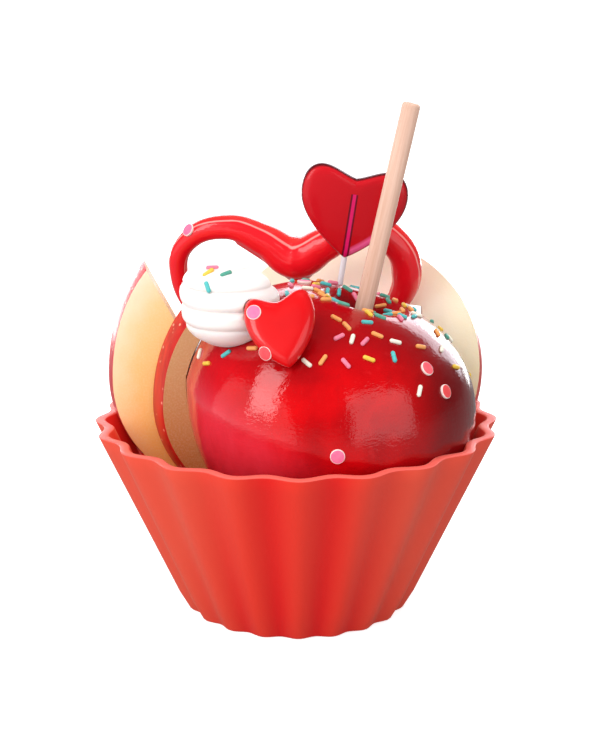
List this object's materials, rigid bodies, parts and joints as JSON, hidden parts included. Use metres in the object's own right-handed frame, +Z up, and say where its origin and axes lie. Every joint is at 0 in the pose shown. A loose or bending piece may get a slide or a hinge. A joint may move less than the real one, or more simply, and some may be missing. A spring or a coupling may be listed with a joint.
{
  "type": "toffee apple in a fluted cup",
  "caption": "Red toffee apple on a wooden stick in a fluted silicone cup, dressed with apple slices, a heart ring, cream, a heart sweet and a heart lollipop.",
  "frame": {"origin": "middle of the flat underside of the cup", "axes": "+Z up, -Y towards the front of the cup, +X to the viewer's right, the way the wooden stick leans"},
  "size_m": [0.1036, 0.1087, 0.1304],
  "materials": {
    "red_silicone": "satin moulded silicone",
    "red_toffee": "hard, glossy toffee",
    "pale_wood": "smooth birch, unvarnished",
    "apple_flesh": "moist cut fruit with a thin red skin",
    "red_glaze": "glossy glaze",
    "whipped_cream": "soft, smooth cream",
    "red_sweet": "polished jelly sweet",
    "red_lolly": "clear boiled sugar",
    "white_paper": "rolled paper"
  },
  "bodies": {
    "root": {"cup": "red_silicone", "apple": "red_toffee", "stick": "pale_wood", "slice_left_outer": "apple_flesh", "slice_left_inner": "apple_flesh", "slice_back": "apple_flesh", "heart_ring": "red_glaze", "cream": "whipped_cream", "heart_sweet": "red_sweet", "lollipop_heart": "red_lolly", "lollipop_stick": "white_paper"}
  },
  "joints": []
}
